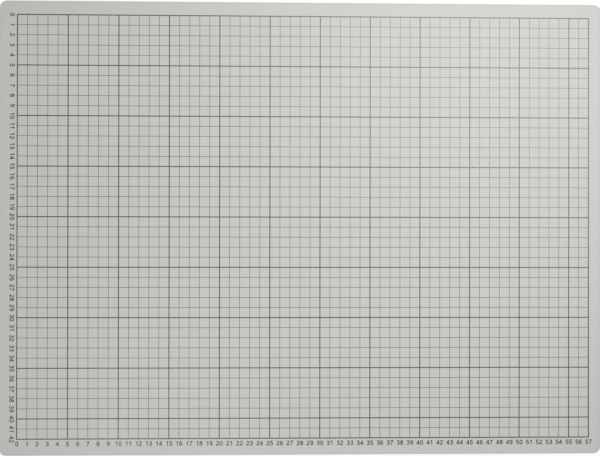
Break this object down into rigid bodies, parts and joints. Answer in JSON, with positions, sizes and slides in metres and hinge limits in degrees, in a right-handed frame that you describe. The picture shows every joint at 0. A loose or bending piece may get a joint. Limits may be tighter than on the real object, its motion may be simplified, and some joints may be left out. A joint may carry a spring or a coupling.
{
  "type": "cutting mat",
  "caption": "Flat laminated self-healing cutting mat with rounded corners, eased edges and a printed centimetre grid on its upper face.",
  "frame": {"origin": "middle of the underside", "axes": "+X along the long side, towards the high end of the long scale; +Y away from someone who reads the long scale's numerals; +Z out of the printed face"},
  "size_m": [0.6, 0.45, 0.0031],
  "materials": {
    "bottom_skin": "fine matt grain",
    "lower_cushion": "cut edge, matt",
    "hard_core": "cut edge, slightly waxy",
    "upper_cushion": "cut edge, matt",
    "top_skin": "fine matt grain",
    "ink": "screen-printed, satin"
  },
  "bodies": {
    "root": {"bottom_skin": "bottom_skin", "lower_cushion": "lower_cushion", "hard_core": "hard_core", "upper_cushion": "upper_cushion", "top_skin": "top_skin", "upright_rulings": "ink", "level_rulings": "ink"}
  },
  "joints": []
}
